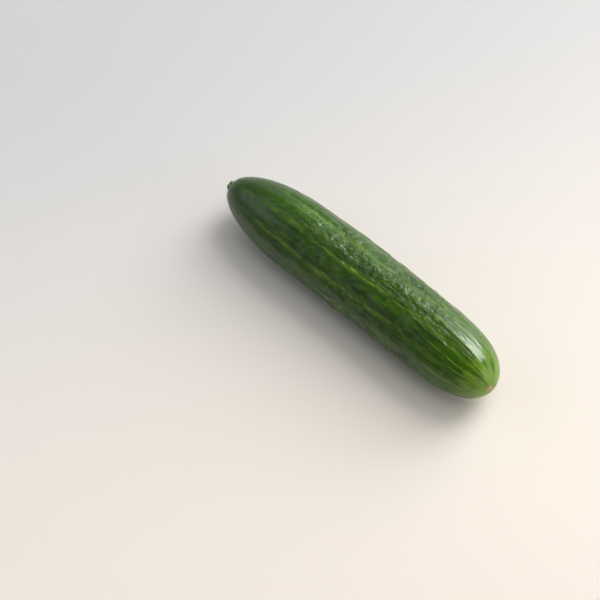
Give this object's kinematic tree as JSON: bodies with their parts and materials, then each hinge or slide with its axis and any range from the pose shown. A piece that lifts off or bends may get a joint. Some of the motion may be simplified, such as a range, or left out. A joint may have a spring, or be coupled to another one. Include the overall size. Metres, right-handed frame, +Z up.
{
  "type": "english cucumber",
  "caption": "Whole English cucumber, lying on its side on a small flat spot, with the stub of its stem.",
  "frame": {"origin": "on the table, under the middle of the whole cucumber's box", "axes": "+X along the fruit from the stem end to the blossom end, +Z up as it lies"},
  "size_m": [0.201, 0.0434, 0.0434],
  "materials": {
    "green_skin": "dark green waxy skin with paler streaks along it",
    "cut_stem": "dry yellow-green torn stem"
  },
  "bodies": {
    "root": {"fruit": "green_skin", "stem_stub": "cut_stem"}
  },
  "joints": []
}
